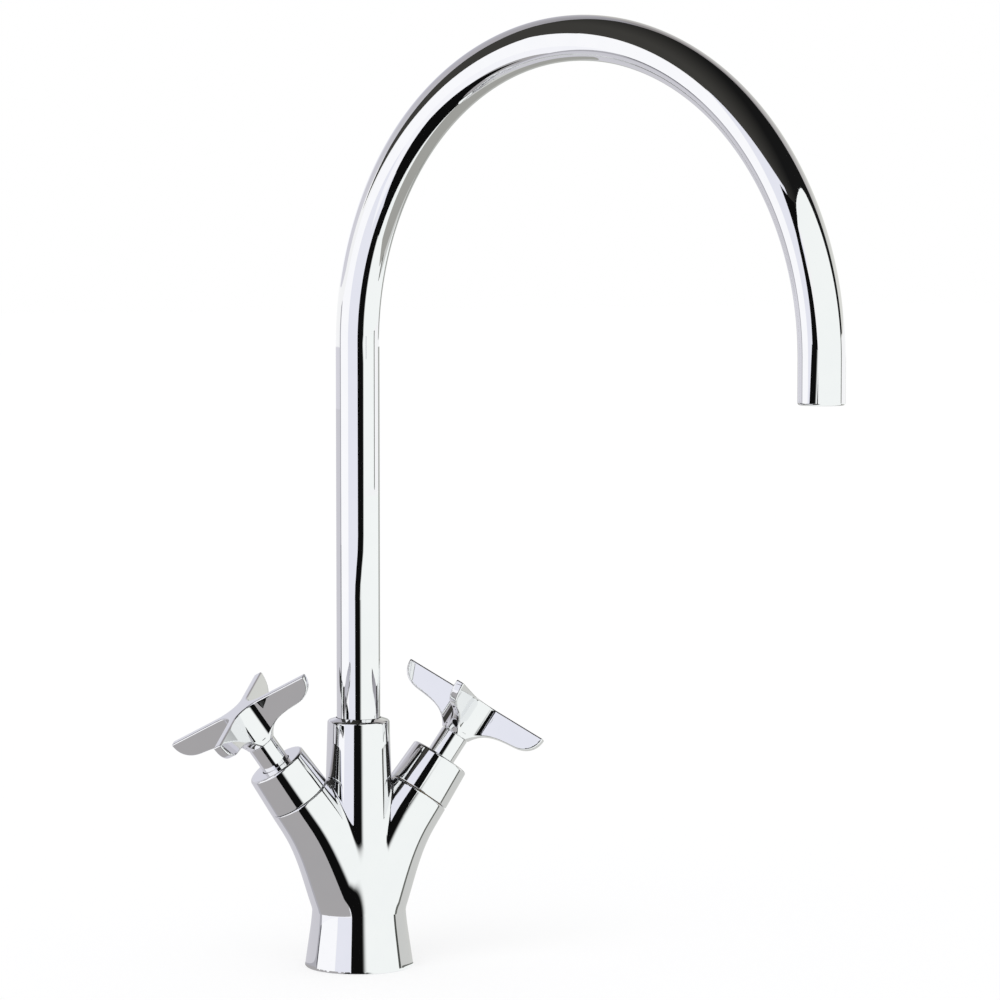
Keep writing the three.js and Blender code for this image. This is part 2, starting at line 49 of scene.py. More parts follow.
def linear(code):
    # an sRGB hex colour as linear RGBA
    parts = [int(code[i:i + 2], 16) / 255 for i in (1, 3, 5)]
    return (*[p / 12.92 if p <= 0.04045 else ((p + 0.055) / 1.055) ** 2.4 for p in parts], 1.0)


def addNode(tree, kind, inputs=None, **settings):
    node = tree.nodes.new(kind)
    for name, value in settings.items():
        setattr(node, name, value)
    for name, value in (inputs or {}).items():
        if isinstance(value, bpy.types.NodeSocket):
            tree.links.new(value, node.inputs[name])
        else:
            node.inputs[name].default_value = value
    return node


def emptyTree(owner):
    owner.use_nodes = True
    owner.node_tree.nodes.clear()
    return owner.node_tree


def meshObject(name, points, faces, normals=None, material=None):
    # points in millimetres, one normal for every corner of every face
    mesh = bpy.data.meshes.new(name)
    mesh.from_pydata((np.asarray(points) * mm).tolist(), [], [list(map(int, f)) for f in faces])
    mesh.update()
    if normals is not None:
        mesh.polygons.foreach_set("use_smooth", np.ones(len(mesh.polygons), bool))
        mesh.normals_split_custom_set(np.asarray(normals, float).tolist())
    if material:
        mesh.materials.append(material)
    thing = bpy.data.objects.new(name, mesh)
    bpy.context.scene.collection.objects.link(thing)
    return thing


camera = {
    "place": (-577.7, -1889.6, 366.8),
    "heading": 18.89,  # degrees to the right of +Y
    "down": 4.37,
    "lens": 155.37,
}


def makeCamera():
    data = bpy.data.cameras.new("camera")
    data.lens = camera["lens"]
    data.sensor_width = 36
    data.clip_start, data.clip_end = 0.05, 50
    eye = bpy.data.objects.new("camera", data)
    eye.location = [c * mm for c in camera["place"]]
    eye.rotation_euler = (math.radians(90 - camera["down"]), 0, math.radians(-camera["heading"]))
    bpy.context.scene.collection.objects.link(eye)
    bpy.context.scene.camera = eye


makeCamera()
print("camera set")


studio = {"paper": "#ffffff", "black": "#0d0d0d", "dome": 420, "glow": 1.13, "lift": 0.68, "floor": 9000}
columns = 33  # points across a card


def seenByMirror(tree):
    # 1 for rays from the camera, a mirror or a clear thing, 0 for the ones that light the object
    rays = addNode(tree, "ShaderNodeLightPath").outputs
    some = addNode(tree, "ShaderNodeMath", {0: rays["Is Camera Ray"], 1: rays["Is Glossy Ray"]}, operation="ADD")
    return addNode(tree, "ShaderNodeMath", {0: some.outputs[0], 1: rays["Is Transmission Ray"]}, operation="ADD",
                   use_clamp=True).outputs[0]


def cardPaper(name, oneSided):
    # matt card in the tones painted on its points; a one-sided card is clear from behind
    material = bpy.data.materials.new(name)
    tree = emptyTree(material)
    tone = addNode(tree, "ShaderNodeAttribute", attribute_name="tone").outputs["Color"]
    surface = addNode(tree, "ShaderNodeEmission", {"Color": tone, "Strength": studio["glow"]}).outputs[0]
    if oneSided:
        behind = addNode(tree, "ShaderNodeNewGeometry").outputs["Backfacing"]
        clear = addNode(tree, "ShaderNodeBsdfTransparent").outputs[0]
        surface = addNode(tree, "ShaderNodeMixShader", {0: behind, 1: surface, 2: clear}).outputs[0]
    addNode(tree, "ShaderNodeOutputMaterial", {"Surface": surface})
    return material


papers = [cardPaper("studio_card", False), cardPaper("studio_card_from_above", True)]


def bearing(turn):
    # level direction, in degrees from the camera towards the picture's right
    angle = math.radians(turn - 90 - camera["heading"])
    return np.array([math.cos(angle), math.sin(angle), 0])


def card(name, rows, colours, share, oneSided=False):
    # a sheet through rows of points, for the chrome alone; share runs through its colours
    points = np.array(rows)
    high, wide = points.shape[:2]
    faces = [(i * wide + j, i * wide + j + 1, (i + 1) * wide + j + 1, (i + 1) * wide + j)
             for i in range(high - 1) for j in range(wide - 1)]
    thing = meshObject(name, points.reshape(-1, 3), faces, None, papers[oneSided])
    stops = np.array([linear(c) for c in colours])
    share = np.broadcast_to(share, (high, wide)).ravel()
    tone = np.stack([np.interp(share, np.linspace(0, 1, len(stops)), stops[:, k]) for k in range(4)], -1)
    thing.data.color_attributes.new("tone", "FLOAT_COLOR", "POINT").data.foreach_set("color", tone.ravel())
    thing.visible_camera = thing.visible_diffuse = thing.visible_shadow = False
    thing.visible_transmission = thing.visible_volume_scatter = False


def wall(name, outline, colours, ends=None, axis=None, far=3000):
    # far wall between two elevations, which are given at some bearings; its tones run along an axis
    turns = np.arange(outline[0][0], outline[-1][0] + 0.1, 0.5)
    low, high = (np.interp(turns, [o[0] for o in outline], [o[k] for o in outline]) for k in (1, 2))
    rows = []
    for rise in np.radians(low + (high - low) * np.linspace(0, 1, 17)[:, None]):
        rows.append([far * math.cos(e) * bearing(t) + (0, 0, studio["dome"] + far * math.sin(e))
                     for t, e in zip(turns, rise)])
    share = np.clip((np.array(rows) @ (axis if axis is not None else upward) - (ends or (0, 1))[0])
                    / np.ptp(ends or (0, 1)), 0, 1)
    card(name, rows, colours, share)


def sheet(name, outline, colours, oneSided=False):
    # card through rows of (distance, height, first bearing, last bearing)
    rows = [[away * bearing(t) + (0, 0, z) for t in np.linspace(first, last, columns)]
            for away, z, first, last in outline]
    card(name, rows, colours, np.linspace(0, 1, columns), oneSided)


upward = np.array([0, 0, 1.0])
pictureRight = bearing(90)


def makeFloor():
    # paper sweep that takes a faint shadow
    material = bpy.data.materials.new("paper_sweep")
    tree = emptyTree(material)
    lift = addNode(tree, "ShaderNodeMath", {0: seenByMirror(tree), 1: studio["lift"]}, operation="MULTIPLY")
    matt = addNode(tree, "ShaderNodeBsdfDiffuse", {"Color": linear("#9a9a9b")})
    glow = addNode(tree, "ShaderNodeEmission", {"Color": linear(studio["paper"]), "Strength": lift.outputs[0]})
    both = addNode(tree, "ShaderNodeAddShader", {0: matt.outputs[0], 1: glow.outputs[0]})
    addNode(tree, "ShaderNodeOutputMaterial", {"Surface": both.outputs[0]})
    size = studio["floor"]
    meshObject("floor", [(-size, -size, 0), (size, -size, 0), (size, size, 0), (-size, size, 0)],
                        [(0, 1, 2, 3)], None, material)


def makeWorld():
    world = bpy.data.worlds.new("studio")
    bpy.context.scene.world = world
    tree = emptyTree(world)
    soft = addNode(tree, "ShaderNodeBackground", {"Color": linear(studio["paper"]), "Strength": 0.8})
    paper = addNode(tree, "ShaderNodeBackground", {"Color": linear(studio["paper"]), "Strength": 1.0})
    mix = addNode(tree, "ShaderNodeMixShader", {0: seenByMirror(tree), 1: soft.outputs[0], 2: paper.outputs[0]})
    addNode(tree, "ShaderNodeOutputWorld", {"Surface": mix.outputs[0]})


def makeLamp(name, towards, size, power):
    data = bpy.data.lights.new(name, "SUN")
    data.angle = math.radians(size)
    data.energy = power
    lamp = bpy.data.objects.new(name, data)
    lamp.location = towards
    lamp.rotation_euler = lamp.location.to_track_quat("Z", "Y").to_euler()
    lamp.visible_glossy = False
    bpy.context.scene.collection.objects.link(lamp)


makeFloor()
makeWorld()
makeLamp("soft_lamp", (-0.9, -1.1, 2.0), 40, 0.78)
bpy.context.scene.view_settings.view_transform = "Standard"

# far walls of the studio and the dark space above them
wall("dark_ceiling", [(-180, 55, 89.9), (-150, 50, 89.9), (-140, 46, 89.9), (-125, 34, 89.9), (-115, 20, 89.9),
                      (-106, 8, 89.9), (-97, 1, 89.9), (-84.1, 1, 89.9), (-84, 18, 89.9), (-60, 22, 89.9),
                      (-37, 25, 89.9), (-22, 22, 89.9), (-14, 24, 89.9), (-6, 27.5, 89.9), (2, 31.5, 89.9),
                      (10, 34.8, 89.9), (20, 37.8, 89.9), (30, 40, 89.9), (42, 41.6, 89.9), (55, 42.2, 89.9),
                      (68, 41.4, 89.9), (77, 39.6, 89.9), (84, 36.5, 89.9), (88, 32, 89.9), (91, 25, 89.9),
                      (94, 14, 89.9), (97, 0, 89.9), (111, 0, 89.9), (113, 30, 89.9), (117, 38, 89.9),
                      (125, 45, 89.9), (150, 50, 89.9), (180, 55, 89.9)],
     ["#3b3a37", "#161616"], (-1800, 900), pictureRight, 2950)
leftGreys = ["#f7f7fa", "#cfcfd8", "#b4b3bd", "#aeadb3", "#a4a2a7", "#97959a"]
wall("left_back_wall", [(-180, -0.5, 56), (-142, -0.5, 52)], leftGreys, (600, 2600))
wall("left_side_wall", [(-142, -0.5, 52), (-106, -0.5, 47)], ["#cfced5", "#c2c1c7", "#b2afb5", "#a6a3a8"], (600, 2200))
wall("right_wall", [(-12, -8, 46), (97, -8, 46)], ["#f1f4f2"])
wall("right_seam", [(96, -8, 46), (103, -8, 46)], ["#666863"])
wall("right_back_wall", [(103, -0.5, 56), (180, -0.5, 56)], ["#d8d8d3", "#cccdc8", "#b9b7b5", "#b0adac", "#8a8686"],
     (600, 2600))

# cards on the left
sheet("lilac_wall", [(650, 0, -50, -12), (650, 420, -50, -12), (650, 460, -50, -2), (650, 690, -50, 0)], ["#e3e4ed"])
sheet("left_wall", [(650, 0, -97.5, -50.5), (650, 300, -97.5, -50.5), (650, 301, -84, -50.5), (650, 640, -84, -50.5)],
      ["#f8f8fa"])
sheet("left_seam_line", [(649, 0, -101.5, -98), (649, 140, -101.5, -98)], ["#55555b"])
sheet("left_seam", [(650, 0, -106, -98), (650, 300, -106, -98)], ["#a9a8ae"])

# the dark gap before the camera, soft on its right, and narrow where it runs up to the dark ceiling
gap = [(0, -15, 9), (240, -15, 9), (262, -15, 10), (290, -15, 9), (331, -14, 7), (374, -14, 4.5), (413, -13, 1.5),
       (450, -9, 2), (485, -8, 6), (521, -7, 15), (560, -5, 20)]
softEdge = [studio["black"], "#5c5d5b", "#a9abaa", "#d3d5d3", "#e9ecea", "#f1f4f2"]
sheet("camera_gap", [(500, z, a, b) for z, a, b in gap], [studio["black"]])
sheet("gap_edge", [(500, z, b, b + 11) for z, a, b in gap[:2]], softEdge)

# rising cards that only the spout looks down on: the gap moves over to the right for it
rise = [(350, 292, 1, 22), (300, 266, 1, 29.5), (150, 187.8, 1, 28), (138, 181.5, -1, 26), (125, 174.8, -7, 18.5),
        (112, 168, -13, 11.5), (100, 161.8, -15, 9)]
sheet("lilac_strip", [(away, z, -16, a) for away, z, a, b in rise], ["#e3e4ed"], True)
sheet("spout_gap", rise, [studio["black"]], True)
sheet("spout_gap_edge", [(away, z, b, b + 5) for away, z, a, b in rise], softEdge, True)

# floor, as the chrome sees it
sheet("left_back_floor", [(2900, 0.3, -180, -106), (24.5, 0.3, -180, -106)], ["#c7c6cc"])
sheet("left_seam_floor", [(2900, 0.3, -106, -98), (24.5, 0.3, -106, -98)], ["#a9a8ae"])
sheet("left_floor", [(2900, 0.3, -98, -15), (270, 0.3, -98, -15)], ["#f3f3f7"])
# painted shade: a grey sheet near the foot stands in for the object's shade on the floor, as the chrome sees it
sheet("painted_shade_floor", [(270, 0.3, -98, -15), (24.5, 0.3, -98, -15)], ["#a3a1a2"])
sheet("gap_floor", [(499, 0.4, -15, 10), (24.5, 0.4, -15, 10)], [studio["black"]])
sheet("gap_edge_floor", [(499, 0.4, 10, 20), (24.5, 0.4, 10, 20)], [studio["black"], "#a9abaa", "#e9ecea", "#f1f4f2"])
sheet("right_floor", [(2900, 0.3, 12, 180), (24.5, 0.3, 12, 180)], ["#f1f4f2"])
sheet("right_seam_floor", [(925, 0.5, 96, 103), (24.5, 0.5, 96, 103)], ["#666863"])
sheet("right_back_floor", [(925, 0.4, 103, 180), (24.5, 0.4, 103, 180)], ["#c6c7c4"])
sheet("right_seam_fence", [(300, 0, 93, 99.5), (300, 75, 93, 99.5)], ["#4a4c48"])
sheet("right_back_fence", [(300, 0, 99.5, 180), (300, 75, 99.5, 180)], ["#c6c7c4"])

# low cards at the back, which the spout's straight part sees along its rims
sheet("left_back_card", [(600, 0, -180, -106), (600, 225, -180, -106)], ["#c7c6cc"])
sheet("left_back_card_top", [(600, 225, -180, -106), (600, 262, -180, -106)], ["#d2d1d8"])
sheet("right_back_seam", [(600, 0, 139, 148), (600, 262, 139, 148)], ["#8f918c"])
sheet("right_back_card", [(600, 0, 148, 180), (600, 262, 148, 180)], ["#b0b1ad"])

# trays that only the spout's bend looks down on
sheet("black_tray", [(190, 203, -35, 34), (60, 250, -35, 50)], [studio["black"]], True)
sheet("grey_tray", [(400, 140, 85, 180), (190, 203, 62, 180), (60, 250, 50, 180)], ["#9d9d98"], True)
print("studio set")


def polishedChrome():
    # chromium plate on buffed brass: a mirror, a little cool, with the faint swell that buffing leaves
    material = bpy.data.materials.new("polished_chrome")
    tree = emptyTree(material)
    place = addNode(tree, "ShaderNodeTexCoord").outputs["Object"]
    haze = addNode(tree, "ShaderNodeTexNoise", {"Vector": place, "Scale": 90.0, "Detail": 4.0, "Roughness": 0.6})
    rough = addNode(tree, "ShaderNodeMapRange", {"Value": haze.outputs["Fac"], 1: 0.3, 2: 0.75, 3: 0.012, 4: 0.03})
    tint = addNode(tree, "ShaderNodeMix", {"Factor": haze.outputs["Fac"], 6: linear("#eff0f2"), 7: linear("#f4f4f5")},
                   data_type="RGBA")
    shader = addNode(tree, "ShaderNodeBsdfPrincipled", {
        "Base Color": tint.outputs[2], "Metallic": 1.0, "Roughness": rough.outputs[0]})
    addNode(tree, "ShaderNodeOutputMaterial", {"Surface": shader.outputs[0]})
    return material


def plainMaterial(name, low, high, rough, metallic, scale):
    # a ground, turned or moulded surface, whose tone and gloss vary a little with its grain
    material = bpy.data.materials.new(name)
    tree = emptyTree(material)
    place = addNode(tree, "ShaderNodeTexCoord").outputs["Object"]
    grain = addNode(tree, "ShaderNodeTexNoise", {"Vector": place, "Scale": scale, "Detail": 3.0})
    tint = addNode(tree, "ShaderNodeMix", {"Factor": grain.outputs["Fac"], 6: linear(low), 7: linear(high)},
                   data_type="RGBA")
    spread = addNode(tree, "ShaderNodeMapRange", {"Value": grain.outputs["Fac"], 1: 0.3, 2: 0.7, 3: rough * 0.8,
                                                  4: rough * 1.2})
    shader = addNode(tree, "ShaderNodeBsdfPrincipled", {
        "Base Color": tint.outputs[2], "Metallic": metallic, "Roughness": spread.outputs[0]})
    addNode(tree, "ShaderNodeOutputMaterial", {"Surface": shader.outputs[0]})
    return material


chrome = polishedChrome()
finishes = {
    "polished_chrome": chrome,
    # warm yellow with soft highlights, on the spigot and the valve housings
    "brass": plainMaterial("turned_brass", "#b8924a", "#cfaa5f", 0.3, 1.0, 400),
    # neutral grey, duller than the plate, on screws and the outlet's ring
    "steel": plainMaterial("stainless_steel", "#a9abae", "#bfc1c3", 0.28, 1.0, 500),
    # nearly black and matt, so that the seals read as dark lines
    "rubber": plainMaterial("epdm_rubber", "#161617", "#202022", 0.7, 0.0, 900),
    # off-white with a ground sheen, on the valve discs
    "ceramic": plainMaterial("alumina_ceramic", "#ece9e0", "#f4f2ec", 0.25, 0.0, 700),
    # milky white and half matt, on the outlet's jet plate
    "acetal": plainMaterial("moulded_acetal", "#e2e1dc", "#ecebe6", 0.45, 0.0, 300),
}
print("materials made")


def roundedOutline(corners, closed=True, arcStep=9.0):
    # corners as (radius, height, rounding), anticlockwise; gives the points and each span's end normals
    spots = np.array([c[:2] for c in corners], float)
    count = len(spots)
    points, spans = [], []

    def unit(v):
        return v / np.linalg.norm(v)

    def normalOf(d):
        return np.array([d[1], -d[0]])

    def addPoint(p):
        points.append(p)
        return len(points) - 1

    last = None
    first = None
    for k in range(count):
        here = spots[k]
        ends = not closed and k in (0, count - 1)
        if ends or corners[k][2] == 0:
            entry = leave = addPoint(here)
        else:
            before = unit(here - spots[k - 1])
            after = unit(spots[(k + 1) % count] - here)
            cross = before[0] * after[1] - before[1] * after[0]
            bend = math.acos(np.clip(before @ after, -1, 1))
            side = 1.0 if cross > 0 else -1.0
            radius = corners[k][2]
            back = radius * math.tan(bend / 2)
            n1 = normalOf(before)
            middle = here - before * back - side * radius * n1
            steps = max(2, math.ceil(math.degrees(bend) / arcStep))
            previous = None
            for j in range(steps + 1):
                turn = side * bend * j / steps
                n = np.array([n1[0] * math.cos(turn) - n1[1] * math.sin(turn),
                              n1[0] * math.sin(turn) + n1[1] * math.cos(turn)])
                spot = addPoint(middle + side * radius * n)
                if j == 0:
                    entry = spot
                else:
                    spans.append((spot - 1, spot, previous, n))
                previous = n
            leave = spot
        if last is not None:
            n = normalOf(unit(points[entry] - points[last]))
            spans.append((last, entry, n, n))
        else:
            first = entry
        last = leave
    if closed:
        n = normalOf(unit(points[first] - points[last]))
        spans.append((last, first, n, n))
    return np.array(points), spans


def sweep(outline, frames, steps):
    # an outline carried round an axis: frames gives centre, two cross directions and the run of the axis
    points, spans = outline
    centre, across, beside, run = frames(points[:, 1])
    turn = 2 * math.pi * np.arange(steps) / steps
    radial = across[:, None] * np.cos(turn)[:, None] + beside[:, None] * np.sin(turn)[:, None]
    ringPoints = centre[:, None] + points[:, 0][:, None, None] * radial
    k = np.arange(steps)
    nextK = (k + 1) % steps
    faces, normals = [], []
    for i, j, ni, nj in spans:
        a = ni[0] * radial[i] + ni[1] * run[i]
        b = nj[0] * radial[j] + nj[1] * run[j]
        if points[i, 0] < 1e-9:
            faces += np.stack([i * steps + 0 * k, j * steps + nextK, j * steps + k], -1).tolist()
            normals.append(np.stack([a, b[nextK], b], 1).reshape(-1, 3))
        elif points[j, 0] < 1e-9:
            faces += np.stack([i * steps + k, i * steps + nextK, j * steps + 0 * k], -1).tolist()
            normals.append(np.stack([a, a[nextK], b], 1).reshape(-1, 3))
        else:
            faces += np.stack([i * steps + k, i * steps + nextK, j * steps + nextK, j * steps + k], -1).tolist()
            normals.append(np.stack([a, a[nextK], b[nextK], b], 1).reshape(-1, 3))
    return tidy(ringPoints.reshape(-1, 3), faces, np.concatenate(normals))


def tidy(points, faces, normals):
    # drops points that no face uses
    used = np.unique(np.concatenate([np.asarray(f) for f in faces]))
    place = np.full(len(points), -1)
    place[used] = np.arange(len(used))
    return points[used], [[int(place[v]) for v in f] for f in faces], normals


def uprightAxis(heights):
    count = len(heights)
    centre = np.zeros((count, 3))
    centre[:, 2] = heights
    return centre, np.tile([1.0, 0, 0], (count, 1)), np.tile([0, 1.0, 0], (count, 1)), np.tile([0, 0, 1.0], (count, 1))


def moved(shape, matrix):
    points, faces, normals = shape
    turnPart = np.array(matrix.to_3x3())
    return points @ turnPart.T + np.array(matrix.translation), faces, normals @ turnPart.T


# how a field is turned into a skin: cells worked out near it, steps to its surface, and hold on the middle
skinning = {"near": 4.5, "steps": 7, "hold": 0.02, "inset": 0.2, "crease": math.cos(math.radians(12))}


def slopeOf(field, p, reach):
    slope = np.empty_like(p)
    for axis in range(3):
        step = np.zeros(3)
        step[axis] = reach
        slope[:, axis] = field(*(p + step).T) - field(*(p - step).T)
    return slope / np.maximum(np.linalg.norm(slope, axis=1, keepdims=True), 1e-12)


def skin(field, low, high, cell, reach=0.02):
    low = np.array(low, float)
    counts = np.ceil((np.array(high) - low) / cell).astype(int) + 1
    axes = [low[a] + cell * np.arange(counts[a]) for a in range(3)]
    # the field is worked out on every other point, then on the points in between that lie near the skin
    coarse = [a[::2] for a in axes]
    guess = np.broadcast_to(field(coarse[0][:, None, None], coarse[1][None, :, None], coarse[2][None, None, :]),
                            [len(a) for a in coarse])
    for a in range(3):
        guess = guess.repeat(2, axis=a).take(range(counts[a]), axis=a)
    value = guess.copy()
    near = np.argwhere(np.abs(guess) < skinning["near"] * cell)
    value[tuple(near.T)] = field(*(low + cell * near).T)
    inside = value < 0
    spots, quads = [], []
    cells = counts - 1
    for axis in range(3):
        u, v = (axis + 1) % 3, (axis + 2) % 3
        lower = [slice(None)] * 3
        upper = [slice(None)] * 3
        lower[axis], upper[axis] = slice(0, -1), slice(1, None)
        at = np.argwhere(inside[tuple(lower)] != inside[tuple(upper)])
        end = at.copy()
        end[:, axis] += 1
        start = low + cell * at
        va, vb = value[tuple(at.T)], value[tuple(end.T)]
        a, b = np.zeros(len(at)), np.ones(len(at))
        for step in range(skinning["steps"]):
            t = a + (b - a) * np.clip(va / (va - vb), 0.02, 0.98) if step % 3 < 2 else (a + b) / 2
            p = start.copy()
            p[:, axis] += t * cell
            vt = field(*p.T)
            same = np.sign(vt) == np.sign(va)
            a, va = np.where(same, t, a), np.where(same, vt, va)
            b, vb = np.where(same, b, t), np.where(same, vb, vt)
        t = a + (b - a) * va / np.where(va == vb, 1, va - vb)
        p = start.copy()
        p[:, axis] += t * cell
        spots.append(p)
        around = []
        for du, dv in ((0, 0), (-1, 0), (-1, -1), (0, -1)):
            c = at.copy()
            c[:, u] += du
            c[:, v] += dv
            around.append(np.ravel_multi_index(tuple(c.T), tuple(cells)))
        quad = np.stack(around, -1)
        flip = ~inside[tuple(at.T)]
        quad[flip] = quad[flip][:, ::-1]
        quads.append(quad)
    p = np.concatenate(spots)
    n = slopeOf(field, p, reach)
    quads = np.concatenate(quads)
    ids, place = np.unique(quads, return_inverse=True)
    place = place.reshape(quads.shape)
    total = len(ids)

    def gather(weights):
        return np.bincount(place.ravel(), np.repeat(weights, 4), total)

    many = gather(np.ones(len(p)))
    middle = np.stack([gather(p[:, a]) for a in range(3)], -1) / many[:, None]
    square = np.zeros((total, 3, 3))
    pull = np.zeros((total, 3))
    lean = [np.repeat(n[:, a], 4) for a in range(3)]
    away = np.einsum("ij,ij->i", np.repeat(n, 4, axis=0), np.repeat(p, 4, axis=0) - middle[place.ravel()])
    for i in range(3):
        pull[:, i] = np.bincount(place.ravel(), lean[i] * away, total)
        for j in range(i, 3):
            square[:, i, j] = square[:, j, i] = np.bincount(place.ravel(), lean[i] * lean[j], total)
    square += np.eye(3) * skinning["hold"] * many[:, None, None]
    points = middle + np.linalg.solve(square, pull[..., None])[..., 0]
    corner = low + cell * np.stack(np.unravel_index(ids, tuple(cells)), -1)
    points = np.clip(points, corner, corner + cell)
    # a corner of a face takes the slope at its point, or just inside the face where that is a sharp edge
    own = slopeOf(field, points, reach)
    centre = points[place].mean(axis=1)
    inner = points[place] + skinning["inset"] * (centre[:, None] - points[place])
    side = slopeOf(field, inner.reshape(-1, 3), reach).reshape(-1, 4, 3)
    agree = np.einsum("ijk,ijk->ij", side, own[place]) > skinning["crease"]
    normals = np.where(agree[..., None], own[place], side).reshape(-1, 3)
    return points, place.tolist(), normals


def rodField(x, y, z, start, end, radius):
    start, end = np.array(start, float), np.array(end, float)
    length = np.linalg.norm(end - start)
    run = (end - start) / length
    px, py, pz = x - start[0], y - start[1], z - start[2]
    along = px * run[0] + py * run[1] + pz * run[2]
    away = np.sqrt(np.maximum(px * px + py * py + pz * pz - along * along, 0))
    return np.maximum(away - radius, np.maximum(-along, along - length))


def ringField(x, y, z, inner, outer, low, high):
    away = np.hypot(x, y)
    return np.maximum(np.maximum(away - outer, inner - away), np.maximum(low - z, z - high))


def softUnion(a, b, width):
    over = np.maximum(width - np.abs(a - b), 0)
    return np.minimum(a, b) - over * over / (4 * width)


def roundedCut(a, b, radius):
    # both a and b, with a round edge
    return np.minimum(np.maximum(a, b), -radius) + np.hypot(np.maximum(a + radius, 0), np.maximum(b + radius, 0))


body = {
    "footRadius": 25, "footEdge": 0.8, "waistHeight": 26, "waistRadius": 21.3,
    "cavityRadius": 17, "cavityDepth": 10,
    "gasketInset": 3.6, "gasketWidth": 2.2, "gasketHeight": 1.9,
    "inletOffset": 9, "inletRadius": 4.6, "inletDepth": 18,
    "studOffset": 9.5, "studRadius": 3.4, "studDepth": 20,
    "columnHeight": 114.3, "columnRadius": 14.3, "columnTaper": 0.03, "columnFoot": 60,
    "crownRise": 1.4, "rimEdge": 0.9,
    "tilt": math.radians(34.7), "crossHeight": 38.2,
    "armRadius": 15, "armTaper": 0.05, "armStraight": 14, "armEdge": 0.7,
    "crotchGap": 0.43, "waistSoft": 1.2, "columnBelly": 0.74,
    "feedRadius": 3, "drainRadius": 2.4, "chamberStep": 2.6, "chamberDepth": 15,
}


def columnRadiusAt(height):
    return body["columnRadius"] + body["columnTaper"] * (body["columnHeight"] - height)


armLength = ((columnRadiusAt(body["columnFoot"]) + body["crotchGap"]
              + math.cos(body["tilt"]) * body["armRadius"]) / math.sin(body["tilt"]))


def armPoint(along, across=0.0):
    sin, cos = math.sin(body["tilt"]), math.cos(body["tilt"])
    return np.array([sin * along + cos * across, body["crossHeight"] + cos * along - sin * across])


def edgeCurve(points):
    # cubic pieces through three points
    a, b, c = points
    pieces = []
    for p0, p1, p2, p3 in ((2 * a - b, a, b, c), (a, b, c, 2 * c - b)):
        d0, d1, d2 = (np.linalg.norm(q - p) for p, q in ((p0, p1), (p1, p2), (p2, p3)))
        t1 = ((p1 - p0) / d0 - (p2 - p0) / (d0 + d1) + (p2 - p1) / d1) * d1
        t2 = ((p2 - p1) / d1 - (p3 - p1) / (d1 + d2) + (p3 - p2) / d2) * d1
        pieces.append((p1, t1, -3 * p1 + 3 * p2 - 2 * t1 - t2, 2 * p1 - 2 * p2 + t1 + t2))
    return np.array(pieces)


def curveAt(curve, t):
    # x, z and their growth with t
    second = t >= 0.5
    u = 2 * t - second
    c = [np.where(second[..., None], curve[1][k], curve[0][k]) for k in range(4)]
    u = u[..., None]
    place = c[0] + u * (c[1] + u * (c[2] + u * c[3]))
    growth = 2 * (c[1] + u * (2 * c[2] + 3 * u * c[3]))
    return place, growth


armEdges = []
for sign in (1, -1):
    flare = armLength - body["armStraight"]
    armEdges.append(edgeCurve([
        np.array([sign * body["waistRadius"], body["waistHeight"]]),
        armPoint(flare, sign * (body["armRadius"] + body["armTaper"] * body["armStraight"])),
        armPoint(armLength, sign * body["armRadius"]),
    ]))


def armShare(x, z):
    # how far up the arm the section through a point of its middle plane lies, from 0 to 1
    sin, cos = math.sin(body["tilt"]), math.cos(body["tilt"])
    rise = z - body["waistHeight"]
    ahead = armLength - (sin * x + cos * (z - body["crossHeight"]))
    return np.clip(rise / np.maximum(rise + ahead, 1e-3), 0, 1)


tableShare = np.linspace(0, 1, 201)
tableMiddle = sum(curveAt(e, tableShare)[0] for e in armEdges) / 2
tableGuess = armShare(tableMiddle[:, 0], tableMiddle[:, 1])


def armField(x, y, z):
    x, z = np.broadcast_arrays(x, z)
    t = np.interp(armShare(x, z), tableGuess, tableShare)
    for _ in range(5):
        (outer, outerGrowth), (inner, innerGrowth) = (curveAt(e, t) for e in armEdges)
        span, spanGrowth = outer - inner, outerGrowth - innerGrowth
        px, pz = x - inner[..., 0], z - inner[..., 1]
        miss = px * span[..., 1] - pz * span[..., 0]
        growth = (-innerGrowth[..., 0] * span[..., 1] + px * spanGrowth[..., 1]
                  + innerGrowth[..., 1] * span[..., 0] - pz * spanGrowth[..., 0])
        t = np.clip(t - miss / np.where(np.abs(growth) < 1e-6, 1e-6, growth), 0, 1)
    outer, inner = (curveAt(e, t)[0] for e in armEdges)
    half = (outer - inner) / 2
    size = np.linalg.norm(half, axis=-1)
    middle = (outer + inner) / 2
    across = ((x - middle[..., 0]) * half[..., 0] + (z - middle[..., 1]) * half[..., 1]) / size
    barrel = np.hypot(across, y) - size
    end = (math.sin(body["tilt"]) * x + math.cos(body["tilt"]) * (z - body["crossHeight"])) - armLength
    return roundedCut(barrel, end, body["armEdge"])


tube = {
    "radius": 10, "wall": 1.25, "seat": 17.3, "rise": 191, "bend": 136, "drop": 18.4,
    "swing": math.radians(28 - 90), "lipOutside": 1.0, "lipInside": 0.2, "bendStep": 1.6,
}
spigot = {"step": 0.8, "land": 4.3, "oring": 0.9, "keeperTip": 1.4, "glide": 5}
spigot["shoulder"] = body["columnHeight"] - tube["seat"] - fits["seat"]
spigot["seat"] = tube["radius"] - spigot["step"] + fits["run"]
spigot["keeperHeight"] = (spigot["shoulder"] - 2 * spigot["land"] - spigot["glide"] - 2 * fits["seat"]
                          - spigot["keeperTip"] - fits["run"])
spigot["foot"] = (spigot["keeperHeight"] - spigot["keeperTip"] - fits["run"] - 3 * spigot["land"]
                  - 4 * (spigot["oring"] + fits["seat"]))
chamberFloor = spigot["foot"] - body["chamberDepth"]
keeperRadius = 2.4
